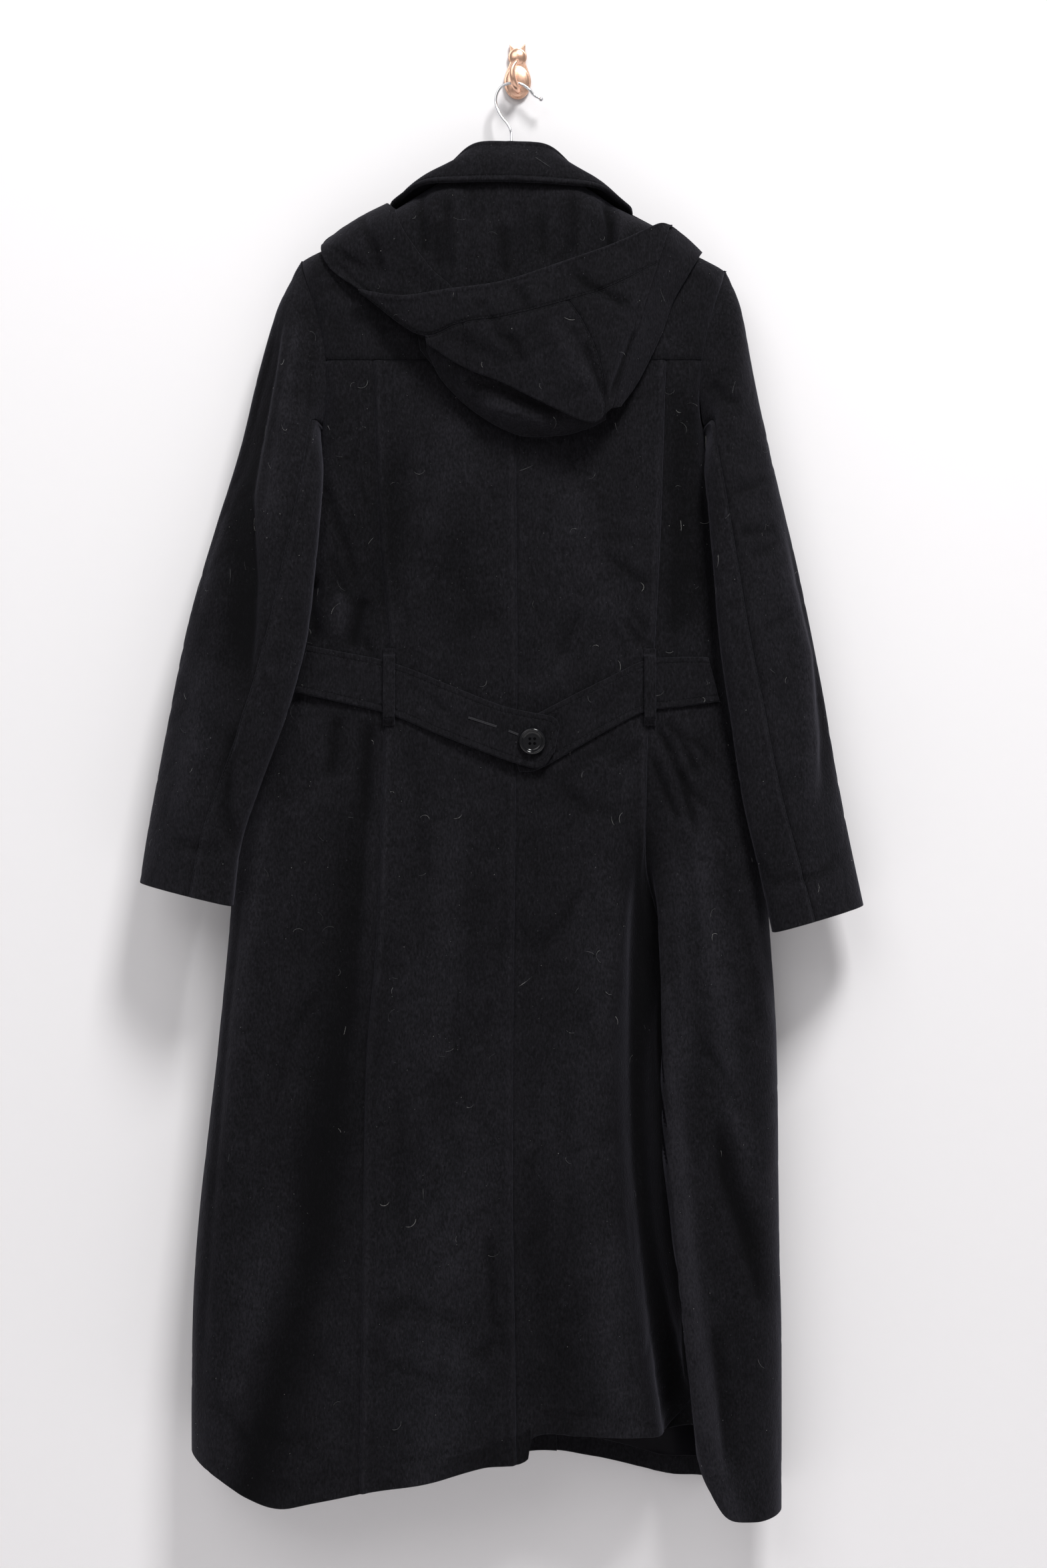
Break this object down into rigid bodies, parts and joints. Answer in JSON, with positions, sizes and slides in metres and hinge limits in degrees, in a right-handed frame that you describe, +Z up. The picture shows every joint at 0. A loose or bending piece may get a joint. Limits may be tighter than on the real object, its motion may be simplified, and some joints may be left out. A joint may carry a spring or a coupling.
{
  "type": "hooded coat on wall hook",
  "caption": "Long dark wool coat with a collar, a hood hanging down its back and a buttoned half belt, on a hanger that hangs from a small cat-shaped wall hook.",
  "frame": {"origin": "middle of the wall hook's flat back face, where it meets the wall", "axes": "+Y into the wall, +Z up along the coat's length, +X to the right of someone who looks at the coat's back"},
  "size_m": [0.688, 0.1063, 1.4096],
  "materials": {
    "wool": "brushed wool cloth, charcoal black",
    "lining": "black satin",
    "button": "polished black",
    "hanger_bar": "plain black, hidden in the coat",
    "wire": "chromed wire",
    "copper": "satin copper plating"
  },
  "bodies": {
    "root": {"back_yoke": "wool", "side_back_left": "wool", "back_left": "wool", "back_right": "wool", "side_back_right": "wool", "front_left": "wool", "front_right": "wool", "sleeve_left_upper": "wool", "sleeve_left_under": "wool", "sleeve_right_upper": "wool", "sleeve_right_under": "wool", "collar_fall": "wool", "collar_stand": "wool", "hood_neck": "wool", "hood_pouch": "wool", "hood_side_left": "wool", "hood_side_right": "wool", "hood_band": "wool", "hood_crown_left": "wool", "hood_crown_centre": "wool", "hood_crown_right": "wool", "belt_left": "wool", "belt_right": "wool", "belt_loop_left": "wool", "belt_loop_right": "wool", "lining_side_back_left": "lining", "lining_back_left": "lining", "lining_back_right": "lining", "lining_side_back_right": "lining", "lining_front_left": "lining", "lining_front_right": "lining", "belt_button": "button", "front_button_1": "button", "front_button_2": "button", "front_button_3": "button", "front_button_4": "button", "hanger_body": "hanger_bar", "hanger_hook": "wire", "wall_hook": "copper"}
  },
  "joints": []
}
